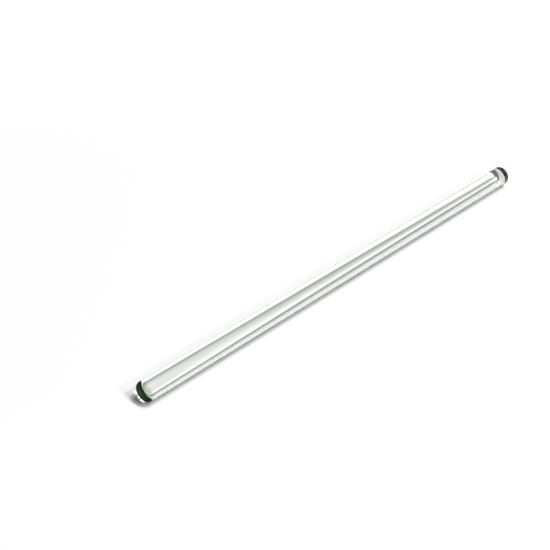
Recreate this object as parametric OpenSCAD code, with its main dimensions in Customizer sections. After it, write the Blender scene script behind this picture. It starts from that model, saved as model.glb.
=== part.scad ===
// Glass stirring rod: a solid drawn rod whose two cut ends were melted round.
// The rod lies along X with its centre at the origin, and +Z is up.

/* [Rod] */
// Length of the whole rod, from tip to tip
rod_length = 200; // [60:1:400]
// Diameter of the straight shaft
rod_d = 8; // [6:0.5:12]

/* [Melted ends] */
// Radius of the softened rim, where the shaft turns into the end
rim_r = 2; // [0.5:0.1:2.2]
// Height that the crown of an end gains above its softened rim
crown_rise = 0.35; // [0.1:0.05:0.8]

/* [Hidden] */
$fn = 96;

rod_r = rod_d / 2;
// An end is a dished head: a shallow spherical crown that runs smoothly into the rim.
end_depth = rim_r + crown_rise;
shaft_length = rod_length - 2 * end_depth;
rim_centre = rod_r - rim_r;
// The crown's arc touches the rim's arc from outside, so both share one tangent there.
crown_r = (rim_centre ^ 2 + end_depth ^ 2 - rim_r ^ 2) / (2 * crown_rise);
crown_centre = end_depth - crown_r;
// The point that the two arcs share lies on the line through both centres.
touch = [rim_centre, 0] + [rim_centre, -crown_centre] * rim_r / (crown_r - rim_r);

// Half section of one end, with the radius along X and the rod's axis along Y.
// Its base is on Y = 0, where the shaft stops.
module end_section() {
    // Rim, from the shaft's wall inwards
    intersection() {
        translate([rim_centre, 0]) circle(r = rim_r);
        square([rod_r, end_depth]);
    }
    // Crown, as far out as the point where it touches the rim
    intersection() {
        translate([0, crown_centre]) circle(r = crown_r);
        polygon([[0, 0], [rim_centre, 0], touch, [touch.x, 2 * end_depth], [0, 2 * end_depth]]);
    }
}

module melted_end() {
    rotate_extrude() end_section();
}

module glass_rod() {
    color([0.86, 0.93, 0.88, 0.4])
    rotate([0, 90, 0]) {
        cylinder(d = rod_d, h = shaft_length, center = true);
        for (side = [0, 1])
            mirror([0, 0, side]) translate([0, 0, shaft_length / 2]) melted_end();
    }
}

glass_rod();
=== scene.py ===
import math

import bpy
import numpy as np
from mathutils import Matrix, Vector


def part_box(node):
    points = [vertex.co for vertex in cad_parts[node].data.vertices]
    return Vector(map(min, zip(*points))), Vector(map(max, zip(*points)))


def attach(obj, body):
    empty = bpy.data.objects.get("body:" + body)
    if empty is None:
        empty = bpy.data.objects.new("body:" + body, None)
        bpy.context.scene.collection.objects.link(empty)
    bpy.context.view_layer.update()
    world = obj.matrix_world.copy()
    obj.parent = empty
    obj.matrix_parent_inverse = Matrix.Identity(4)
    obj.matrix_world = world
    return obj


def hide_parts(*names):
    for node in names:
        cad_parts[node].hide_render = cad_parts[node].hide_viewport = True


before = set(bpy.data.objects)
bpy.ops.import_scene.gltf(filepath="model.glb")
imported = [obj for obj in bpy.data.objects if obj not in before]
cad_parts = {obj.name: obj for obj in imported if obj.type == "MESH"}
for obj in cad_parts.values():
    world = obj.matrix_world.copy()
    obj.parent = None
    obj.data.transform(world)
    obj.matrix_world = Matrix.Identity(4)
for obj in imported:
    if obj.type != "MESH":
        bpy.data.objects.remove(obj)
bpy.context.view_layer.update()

# ---------------------------------------------------------------- the rod's sizes, in metres
NODE = "glass_rod"
low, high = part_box(NODE)
rod_length = high.x - low.x
shaft_r = (high.z - low.z) / 2
floor_z = low.z
rim_r = 0.002
crown_rise = 0.00035

# ---------------------------------------------------------------- the glass
GLASS_IOR = 1.52
GLASS_COLOUR = (0.11, 0.37, 0.0, 1)
GLASS_DENSITY = 13.5  # the loss per metre is this times what the colour lacks of white
GLASS_LOSS = 11.0  # one grey loss per metre, near the mean of that, for light on the floor
END_SHADE_START = 0.0032  # distances from a tip: where the painted shade of the ends begins
END_SHADE_FULL = 0.001  # and where it is complete
# painted shade of the ends: a darker base colour, and a share of green glass that mirrors nothing
END_PAINTED_SHADE_TINT = (0.5, 0.51, 0.49, 1)
END_PAINTED_GREEN_TINT = (0.63, 0.7, 0.57, 1)
END_PAINTED_SHADE_SHARE = 0.85
RIDGE_HEIGHT = 0.000008
RIDGE_SCALE = (15.0, 700.0, 700.0)  # about how many a metre holds: few along, many across


# ---------------------------------------------------------------- shader maths
class Socket:
    """A node output, on which + - and * write Math nodes."""

    def __init__(self, tree, link):
        self.tree = tree
        self.link = link

    def _math(self, operation, a, b):
        return self.tree.node("ShaderNodeMath", {"operation": operation}, {0: a, 1: b}).out()

    def __add__(self, other):
        return self._math("ADD", self, other)

    def __radd__(self, other):
        return self._math("ADD", other, self)

    def __sub__(self, other):
        return self._math("SUBTRACT", self, other)

    def __rsub__(self, other):
        return self._math("SUBTRACT", other, self)

    def __mul__(self, other):
        return self._math("MULTIPLY", self, other)

    def __rmul__(self, other):
        return self._math("MULTIPLY", other, self)

    def at_most(self, other):
        return self._math("MINIMUM", self, other)

    def at_least(self, other):
        return self._math("MAXIMUM", self, other)

    def absolute(self):
        return self.tree.node("ShaderNodeMath", {"operation": "ABSOLUTE"}, {0: self}).out()


class Node:
    """One shader node, whose outputs come back as sockets."""

    def __init__(self, tree, raw):
        self.tree = tree
        self.raw = raw

    def out(self, name=0):
        return Socket(self.tree, self.raw.outputs[name])


class Tree:
    """The node tree of a material or of the world, emptied and ready to be written."""

    def __init__(self, owner):
        owner.use_nodes = True
        self.raw = owner.node_tree
        self.raw.nodes.clear()

    def node(self, kind, settings=None, values=None):
        """Adds one node: its settings first, then a value or a link for each named input."""
        raw = self.raw.nodes.new(kind)
        for name, value in (settings or {}).items():
            setattr(raw, name, value)
        for name, value in (values or {}).items():
            if isinstance(value, Socket):
                self.raw.links.new(value.link, raw.inputs[name])
            else:
                raw.inputs[name].default_value = value
        return Node(self, raw)

    def step(self, value, start, stop, low=0.0, high=1.0):
        """Goes smoothly from low to high as value goes from start to stop."""
        ends = {"From Min": start, "From Max": stop, "To Min": low, "To Max": high}
        return self.node(
            "ShaderNodeMapRange", {"interpolation_type": "SMOOTHSTEP"}, {"Value": value, **ends}
        ).out()


# ---------------------------------------------------------------- the rod
class RoundRod:
    """The rod's outline as formulas: a shaft, a rim arc and a crown arc, turned about X.

    The crown is an arc of a large circle on the axis, the rim is an arc of radius rim_r, and the
    two touch where the line through both centres meets them."""

    def __init__(self, length, radius, rim_r, crown_rise):
        self.half = length / 2
        self.r = radius
        self.rim_r = rim_r
        self.depth = rim_r + crown_rise
        self.rim_centre = radius - rim_r
        self.crown_r = (self.rim_centre**2 + self.depth**2 - rim_r**2) / (2 * crown_rise)
        self.touch = math.atan2(self.rim_centre, self.crown_r - self.depth)
        self.crown_depth = self.crown_r * (1 - math.cos(self.touch))

    def end_point(self, share):
        """Distance back from the tip and radius, at a share of the arc from the tip to the shaft."""
        crown_arc = self.crown_r * self.touch
        arc = share * self.end_arc()
        rim_angle = self.touch + (arc - crown_arc) / self.rim_r
        crown_angle = arc / self.crown_r
        on_crown = arc < crown_arc
        back = np.where(
            on_crown,
            self.crown_r * (1 - np.cos(crown_angle)),
            self.depth - self.rim_r * np.cos(rim_angle),
        )
        radius = np.where(
            on_crown,
            self.crown_r * np.sin(crown_angle),
            self.rim_centre + self.rim_r * np.sin(rim_angle),
        )
        return back, radius

    def end_arc(self):
        """The length of the outline from the tip to the shaft."""
        return self.crown_r * self.touch + self.rim_r * (math.pi / 2 - self.touch)

    def radius_at(self, x):
        """The radius at x: on the crown's circle near the tip, and else on the rim's circle."""
        back = np.clip(self.half - np.abs(x), 0, self.depth)
        rim = self.rim_centre + np.sqrt(np.maximum(self.rim_r**2 - (self.depth - back) ** 2, 0))
        crown = np.sqrt(np.maximum(self.crown_r**2 - (self.crown_r - back) ** 2, 0))
        return np.where(back < self.crown_depth, crown, rim)

    def normal_at(self, p):
        """The outward normal at points p of the surface."""
        side = np.sign(p[0])
        back = self.half - np.abs(p[0])
        along = np.where(back < self.depth, side * (self.depth - back) / self.rim_r, 0)
        crown = back < self.crown_depth
        along = np.where(crown, side * (self.crown_r - back) / self.crown_r, along)
        across = np.sqrt(np.maximum(1 - along**2, 0)) / np.maximum(np.hypot(p[1], p[2]), 1e-12)
        return np.array([along, p[1] * across, p[2] * across])

    def way_out(self, p, d, halvings=26):
        """How far light inside the rod runs from p along d until it meets the surface.

        On the shaft that is the longer root of the circle's equation. At the ends the way is
        halved again and again towards the place where it passes the outline."""
        a = np.maximum(d[1] ** 2 + d[2] ** 2, 1e-12)
        b = p[1] * d[1] + p[2] * d[2]
        c = np.minimum(p[1] ** 2 + p[2] ** 2 - self.r**2, 0)
        to_wall = (-b + np.sqrt(b * b - a * c)) / a
        along = np.where(np.abs(d[0]) < 1e-9, 1e-9, d[0])
        to_tip = (np.sign(along) * self.half - p[0]) / along
        far = np.minimum(to_wall, to_tip)
        ends = np.nonzero(np.abs(p[0] + d[0] * far) > self.half - self.depth)[0]
        q, v, high = p[:, ends], d[:, ends], far[ends]
        low = np.zeros(len(ends))
        for _ in range(halvings):
            mid = (low + high) / 2
            x, y, z = q + v * mid
            inside = np.hypot(y, z) < self.radius_at(x)
            low = np.where(inside, mid, low)
            high = np.where(inside, high, mid)
        far[ends] = high
        return far


shape = RoundRod(rod_length, shaft_r, rim_r, crown_rise)


def rod_mesh(name, sides=128, end_rings=44, shaft_rings=240):
    """The rod as a profile turned about X: tip, melted end, shaft, melted end, tip.

    A point is (x, r cos turn, r sin turn), for the x and r of its ring and the turn of its side."""
    back, radius = shape.end_point(np.linspace(0, 1, end_rings))
    half = shape.half
    shaft_x = np.linspace(-half + back[-1], half - back[-1], shaft_rings)[1:-1]
    x = np.concatenate([-half + back[1:], shaft_x, half - back[:0:-1]])
    r = np.concatenate([radius[1:], np.full(len(shaft_x), shaft_r), radius[:0:-1]])
    turn = np.linspace(0, 2 * np.pi, sides, endpoint=False)
    rings = np.stack(
        [
            np.repeat(x[:, None], sides, axis=1),
            r[:, None] * np.cos(turn),
            r[:, None] * np.sin(turn),
        ],
        axis=-1,
    ).reshape(-1, 3)
    points = np.vstack([rings, [[-half, 0, 0], [half, 0, 0]]])
    ring = np.arange(len(x) - 1)[:, None] * sides
    side = np.arange(sides)
    nxt = (side + 1) % sides
    quads = np.stack([ring + side, ring + nxt, ring + sides + nxt, ring + sides + side], axis=-1)
    quads = quads.reshape(-1, 4)
    last = (len(x) - 1) * sides
    first_cap = np.stack([np.full(sides, len(points) - 2), nxt, side], axis=-1)
    last_cap = np.stack([np.full(sides, len(points) - 1), last + side, last + nxt], axis=-1)
    mesh = bpy.data.meshes.new(name)
    mesh.from_pydata(points.tolist(), [], quads.tolist() + first_cap.tolist() + last_cap.tolist())
    mesh.validate()
    mesh.shade_smooth()
    piece = bpy.data.objects.new(name, mesh)
    bpy.context.scene.collection.objects.link(piece)
    return piece


def painted_end_share(tree, place):
    """0 along the shaft, rising to 1 over the melted end at either tip, where the ends' shade is
    painted.
    """
    along = tree.node("ShaderNodeSeparateXYZ", None, {0: place}).out("X").absolute()
    return tree.step(along, shape.half - END_SHADE_START, shape.half - END_SHADE_FULL)


def draw_lines(tree, place):
    """The faint long ridges that drawing leaves in a rod, under a hundredth of a millimetre high."""
    stretched = tree.node(
        "ShaderNodeMapping", None, {"Vector": place, "Scale": RIDGE_SCALE}
    ).out()
    height = tree.node(
        "ShaderNodeTexNoise", None, {"Vector": stretched, "Scale": 1.0, "Detail": 2.0}
    ).out("Fac")
    return tree.node(
        "ShaderNodeBump", None, {"Strength": 1.0, "Distance": RIDGE_HEIGHT, "Height": height}
    ).out()


def glass():
    """Clear soda-lime glass: colourless across the rod, green where light runs along it.

    Painted shade: near the tips the glass passes about two thirds of the light at each surface,
    with a green tint, and mirrors less, so that the melted ends read dark green."""
    material = bpy.data.materials.new("clear_glass")
    tree = Tree(material)
    place = tree.node("ShaderNodeTexCoord").out("Object")
    end_shade = painted_end_share(tree, place)
    ridges = draw_lines(tree, place)
    painted_tint = tree.node(
        "ShaderNodeMix",
        {"data_type": "RGBA"},
        {0: end_shade, 6: (1.0, 1.0, 1.0, 1), 7: END_PAINTED_SHADE_TINT},
    ).out(2)
    clear = tree.node(
        "ShaderNodeBsdfPrincipled",
        None,
        {
            "Base Color": painted_tint,
            "Roughness": 0.0,
            "IOR": GLASS_IOR,
            "Transmission Weight": 1.0,
            "Normal": ridges,
        },
    )
    # painted shade: the ends pass less light, greener, and mirror less
    painted_end = tree.node(
        "ShaderNodeBsdfRefraction",
        None,
        {"Color": END_PAINTED_GREEN_TINT, "Roughness": 0.0, "IOR": GLASS_IOR, "Normal": ridges},
    )
    share = end_shade * END_PAINTED_SHADE_SHARE
    surface = tree.node("ShaderNodeMixShader", None, {0: share, 1: clear.out(), 2: painted_end.out()})
    absorb = tree.node(
        "ShaderNodeVolumeAbsorption", None, {"Color": GLASS_COLOUR, "Density": GLASS_DENSITY}
    )
    tree.node(
        "ShaderNodeOutputMaterial", None, {"Surface": surface.out(), "Volume": absorb.out()}
    )
    return material


rod = rod_mesh("stirring_rod")
rod.data.materials.append(glass())
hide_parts(NODE)
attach(rod, "root")


# ---------------------------------------------------------------- camera
def stand_camera(aim, heading, elevation, distance, roll, lens):
    """A camera that looks at aim from a heading (degrees from +X) and an elevation.

    roll turns it about its view, and lens is its focal length in millimetres."""
    data = bpy.data.cameras.new("camera")
    data.lens = lens
    data.sensor_width = 36
    camera = bpy.data.objects.new("camera", data)
    bpy.context.scene.collection.objects.link(camera)
    h, e = math.radians(heading), math.radians(elevation)
    back = Vector((math.cos(h) * math.cos(e), math.sin(h) * math.cos(e), math.sin(e)))
    turned = back.to_track_quat("Z", "Y").to_matrix() @ Matrix.Rotation(math.radians(roll), 3, "Z")
    camera.matrix_world = Matrix.Translation(aim + back * distance) @ turned.to_4x4()
    bpy.context.scene.camera = camera


stand_camera(
    aim=Vector((-0.0177, 0.0196, floor_z)),
    heading=224.9,
    elevation=38.0,
    distance=0.4553,
    roll=1.47,
    lens=77.2,
)


# ---------------------------------------------------------------- lamps
class Softbox:
    """A flat square-cornered lamp that faces the rod's middle.

    turn is its angle about the rod, in degrees from +Y over the top; lean is the share of its
    direction along the rod; width, across the rod, and length, along it, are in degrees as
    seen from there; light is the brightness that it alone gives to a white card on the floor."""

    def __init__(self, name, turn, lean, width, length, light, distance=3.0):
        self.turn = math.radians(turn)
        level = math.sqrt(1 - lean**2)
        out = Vector((lean, level * math.cos(self.turn), level * math.sin(self.turn)))
        across = Vector((0, -math.sin(self.turn), math.cos(self.turn)))
        along = across.cross(out)
        data = bpy.data.lights.new(name, "AREA")
        data.shape = "RECTANGLE"
        data.size = 2 * distance * math.tan(math.radians(length / 2))
        data.size_y = 2 * distance * math.tan(math.radians(width / 2))
        data.energy = light * math.pi**2 * distance**2 / out.z
        lamp = bpy.data.objects.new(name, data)
        bpy.context.scene.collection.objects.link(lamp)
        centre = out * distance
        turned = Matrix((along, across, out)).transposed()
        lamp.matrix_world = Matrix.Translation(centre) @ turned.to_4x4()
        lamp.visible_camera = False
        self.facing = np.array(out)
        self.side = np.array(along * data.size)
        self.rise = np.array(across * data.size_y)
        self.corner = np.array(centre) - self.side / 2 - self.rise / 2
        self.area = data.size * data.size_y
        self.brightness = data.energy / (math.pi * self.area)


lamps = [
    Softbox("behind", 88, 0.15, 4, 4, 0.1),
    Softbox("overhead", 92, 0.3, 4, 4, 0.2),
    Softbox("main", 106, 0.3, 6, 4, 0.35),
    Softbox("high_front", 123, 0.3, 7, 4, 0.2),
    Softbox("middle_front", 131, 0.15, 2.5, 4, 0.055),
    Softbox("low_front", 142, 0.15, 4, 4, 0.1),
]


# ---------------------------------------------------------------- light through the rod
SHAFT_POINTS = 200000
END_POINTS = 100000
END_STRETCH = 0.02  # the last of the shaft at each end, lit with as many points as the rest
INNER_MEETINGS = 4  # how often light inside the rod is followed to the surface
LIT_TURN = math.radians(195)  # a little over half a turn, because a lamp has a width


def fresnel(cos_in, ratio):
    """The share reflected and the cosine past the surface; ratio is index before over after."""
    sine2 = ratio**2 * (1 - cos_in**2)
    cos_out = np.sqrt(np.maximum(1 - sine2, 0))
    s = (ratio * cos_in - cos_out) / (ratio * cos_in + cos_out)
    p = (cos_in - ratio * cos_out) / (cos_in + ratio * cos_out)
    return np.where(sine2 >= 1, 1.0, (s * s + p * p) / 2), cos_out


def even_spread(count, kinds, rounds=30):
    """Rows of numbers spread evenly from 0 to 1, one row for each kind.

    Each is what stands past the point in a half plus a multiple of a power of 1 / root, where
    root to the power kinds + 1 is root + 1. The rounds close in on that root."""
    root = 2.0
    for _ in range(rounds):
        root = (1 + root) ** (1 / (kinds + 1))
    steps = np.arange(1, count + 1)
    return [(0.5 + steps * root ** -(row + 1)) % 1 for row in range(kinds)]


class FloorLight:
    """Light power gathered in the cells between the lines of a grid on the floor."""

    def __init__(self, x_lines, y_lines):
        self.x_lines = x_lines
        self.y_lines = y_lines
        self.cells = (len(x_lines) - 1, len(y_lines) - 1)
        self.power = np.zeros(self.cells[0] * self.cells[1])

    def catch(self, p, d, power):
        """Adds the power of light that leaves p along d to the cells where it lands."""
        down = (d[2] < -1e-4) & (power > 0)
        p, d, power = p[:, down], d[:, down], power[down]
        drop = (p[2] - floor_z) / -d[2]
        column = np.searchsorted(self.x_lines, p[0] + d[0] * drop) - 1
        row = np.searchsorted(self.y_lines, p[1] + d[1] * drop) - 1
        on = (column >= 0) & (column < self.cells[0]) & (row >= 0) & (row < self.cells[1])
        cell = column[on] * self.cells[1] + row[on]
        self.power += np.bincount(cell, power[on], len(self.power))

    def at_lines(self):
        """Brightness of a white card where the grid's lines cross: the mean of the cells around."""
        area = np.diff(self.x_lines)[:, None] * np.diff(self.y_lines)
        light = np.pad(self.power.reshape(self.cells) / area / math.pi, 1)
        return (light[1:, 1:] + light[:-1, 1:] + light[1:, :-1] + light[:-1, :-1]) / 4


def send_light(floor_light, lamp, p, area, u, v):
    """Follows lamp light that meets the rod at points p, by Snell's and Fresnel's laws.

    area is the surface that each point stands for; u and v are its places on the lamp."""
    source = lamp.corner[:, None] + lamp.side[:, None] * u + lamp.rise[:, None] * v
    d = p - source
    far = np.sqrt((d**2).sum(0))
    d = d / far
    n = shape.normal_at(p)
    cos_in = -(d * n).sum(0)
    lit = cos_in > 1e-6
    p, d, n, cos_in, far, area = p[:, lit], d[:, lit], n[:, lit], cos_in[lit], far[lit], area[lit]
    facing = np.abs((d * lamp.facing[:, None]).sum(0))
    power = lamp.brightness * lamp.area * facing * cos_in * area / far**2
    share, cos_out = fresnel(cos_in, 1 / GLASS_IOR)
    floor_light.catch(p, d + 2 * cos_in * n, power * share)
    d = d / GLASS_IOR + (cos_in / GLASS_IOR - cos_out) * n
    power = power * (1 - share)
    for _ in range(INNER_MEETINGS):
        run = shape.way_out(p, d)
        p = p + d * run
        power = power * np.exp(-GLASS_LOSS * run)
        n = shape.normal_at(p)
        cos_in = np.maximum((d * n).sum(0), 1e-9)
        share, cos_out = fresnel(cos_in, GLASS_IOR)
        leaving = d * GLASS_IOR - (GLASS_IOR * cos_in - cos_out) * n
        floor_light.catch(p, leaving, power * (1 - share))
        d = d - 2 * cos_in * n
        power = power * share


def light_shaft(floor_light, lamp, start, stop, count):
    """Lights the stretch of shaft from start to stop, on the side that faces the lamp."""
    across, along, u, v = even_spread(count, 4)
    turn = lamp.turn + (across - 0.5) * LIT_TURN
    x = start + (stop - start) * along
    p = np.array([x, shaft_r * np.cos(turn), shaft_r * np.sin(turn)])
    area = np.full(count, (stop - start) * shaft_r * LIT_TURN / count)
    send_light(floor_light, lamp, p, area, u, v)


def light_end(floor_light, lamp, side, count):
    """Lights one melted end; side is -1 or 1."""
    arc, around, u, v = even_spread(count, 4)
    back, radius = shape.end_point(arc)
    turn = 2 * math.pi * around
    p = np.array([side * (shape.half - back), radius * np.cos(turn), radius * np.sin(turn)])
    area = 2 * math.pi * radius * shape.end_arc() / count
    send_light(floor_light, lamp, p, area, u, v)


def light_under_rod(x_lines, y_lines):
    """The brightness that the lamps' light gives a white card on the floor by way of the rod."""
    floor_light = FloorLight(x_lines, y_lines)
    tip = shape.half - shape.depth
    inner = tip - END_STRETCH
    for lamp in lamps:
        light_shaft(floor_light, lamp, -inner, inner, SHAFT_POINTS)
        light_shaft(floor_light, lamp, -tip, -inner, SHAFT_POINTS)
        light_shaft(floor_light, lamp, inner, tip, SHAFT_POINTS)
        light_end(floor_light, lamp, -1, END_POINTS)
        light_end(floor_light, lamp, 1, END_POINTS)
    return floor_light.at_lines()


# ---------------------------------------------------------------- studio
FLOOR_WHITE = 0.92
SOFT_REACH = 0.03  # how far from the rod's middle line its soft light is counted
WALL_TOP = (0.17, 0.22)  # on the sky, from 0 at the horizon to 1 overhead: the wall fades out
CEILING_EDGE = (0.46, 0.56)  # and the ceiling fades in
BOUNCES = 48


def seen_directly(tree):
    """1 for camera rays, and for the glossy and transmission rays that they turn into.

    Light that has left a matt surface gets 0, so that the floor keeps the shadow of the rod."""
    path = tree.node("ShaderNodeLightPath")
    view = path.out("Is Camera Ray") + path.out("Is Glossy Ray") + path.out("Is Transmission Ray")
    return view.at_most(1.0) * (1 - path.out("Diffuse Depth")).at_least(0.0)


def floor_material(glow, far_glow, near, far):
    """White paper with the light through the rod painted on it as glow.

    Its own glow, for the rays that show the background, grows from glow to far_glow between
    the distances near and far from the rod's middle."""
    material = bpy.data.materials.new("white_floor")
    tree = Tree(material)
    place = tree.node("ShaderNodeTexCoord").out("Object")
    away = tree.node("ShaderNodeVectorMath", {"operation": "LENGTH"}, {0: place}).out("Value")
    grow = tree.step(away, near, far, glow, far_glow)
    through = tree.node("ShaderNodeAttribute", {"attribute_name": "light_by_rod"}).out("Fac")
    # painted light: the light worked out through the rod is added to the floor's glow
    strength = seen_directly(tree) * (grow + through * FLOOR_WHITE)
    white = (FLOOR_WHITE, FLOOR_WHITE, FLOOR_WHITE, 1)
    matt = tree.node("ShaderNodeBsdfDiffuse", None, {"Color": white})
    shine = tree.node("ShaderNodeEmission", None, {"Color": (1, 1, 1, 1), "Strength": strength})
    both = tree.node("ShaderNodeAddShader", None, {0: matt.out(), 1: shine.out()})
    tree.node("ShaderNodeOutputMaterial", None, {"Surface": both.out()})
    return material


def floor_lines():
    """Where the floor's grid has its lines: x along the rod and y across it.

    They lie closest at the tips and beside the rod, where light gathers into thin bright strips."""
    end = shape.half
    tip_lines = np.arange(-4, 3.5, 0.1) * shaft_r
    middle_lines = np.linspace(-end, end, 18)[2:-2]
    x_lines = np.concatenate([tip_lines - end, middle_lines, end - tip_lines[::-1]])
    y_lines = shaft_r * np.concatenate(
        [
            np.arange(-3.5, 0.25, 0.05),
            np.arange(0.25, 0.65, 0.0125),
            np.arange(0.65, 1.1, 0.005),
            np.arange(1.1, 1.9, 0.0125),
            np.arange(1.9, 3.5, 0.025),
            np.arange(3.5, 9, 0.1),
        ]
    )
    return x_lines, y_lines


def lay_floor(size, passed_on, material):
    """A flat grid that keeps the light through the rod at its points, for the floor to paint on as
    glow.

    passed_on is the share of the room's soft light that reaches the floor through the rod; it
    falls off as r^2 / (r^2 + y^2), the share of the sky that the rod covers."""
    x_lines, y_lines = floor_lines()
    light = np.pad(light_under_rod(x_lines, y_lines), 1)
    x = np.concatenate([[-size / 2], x_lines, [size / 2]])
    y = np.concatenate([[-size / 2], y_lines, [size / 2]])
    covered = (np.abs(x) < shape.half)[:, None] * shaft_r**2 / (shaft_r**2 + y**2)
    light = light + passed_on * covered * (np.abs(y) < SOFT_REACH)
    points = np.stack(np.broadcast_arrays(x[:, None], y[None, :], 0.0), axis=-1).reshape(-1, 3)
    first = np.arange(len(x) - 1)[:, None] * len(y) + np.arange(len(y) - 1)
    quads = np.stack([first, first + len(y), first + len(y) + 1, first + 1], axis=-1)
    mesh = bpy.data.meshes.new("floor")
    mesh.from_pydata(points.tolist(), [], quads.reshape(-1, 4).tolist())
    mesh.attributes.new("light_by_rod", "FLOAT", "POINT").data.foreach_set("value", light.ravel())
    mesh.materials.append(material)
    floor = bpy.data.objects.new("floor", mesh)
    floor.location.z = floor_z
    bpy.context.scene.collection.objects.link(floor)


paper = floor_material(glow=0.07, far_glow=0.7, near=0.08, far=0.9)
lay_floor(size=8.0, passed_on=0.08, material=paper)


def light_world(fill, gap, ceiling):
    """White behind the floor, and for the glass a white wall, a dim gap over it, then a ceiling.

    fill is the room's soft light on matt things."""
    world = bpy.data.worlds.new("studio")
    bpy.context.scene.world = world
    tree = Tree(world)
    camera = tree.node("ShaderNodeLightPath").out("Is Camera Ray")
    seen = seen_directly(tree)
    place = tree.node("ShaderNodeTexCoord").out("Generated")
    height = tree.node("ShaderNodeSeparateXYZ", None, {0: place}).out("Z")
    above_wall = tree.step(height, *WALL_TOP)
    on_ceiling = tree.step(height, *CEILING_EDGE)
    wall = 1 - above_wall * (1 - gap) + on_ceiling * (ceiling - gap)
    strength = camera + (seen - camera) * wall + (1 - seen) * fill
    sky = tree.node("ShaderNodeBackground", None, {"Color": (1, 1, 1, 1), "Strength": strength})
    tree.node("ShaderNodeOutputWorld", None, {"Surface": sky.out()})


light_world(fill=0.04, gap=0.33, ceiling=0.66)

# The floor already shows the light through the rod as painted glow, so it isn't followed there a
# second time.
scene = bpy.context.scene
scene.view_settings.view_transform = "Standard"
scene.cycles.max_bounces = BOUNCES
scene.cycles.transmission_bounces = BOUNCES
scene.cycles.glossy_bounces = BOUNCES
scene.cycles.caustics_refractive = False
scene.cycles.caustics_reflective = False
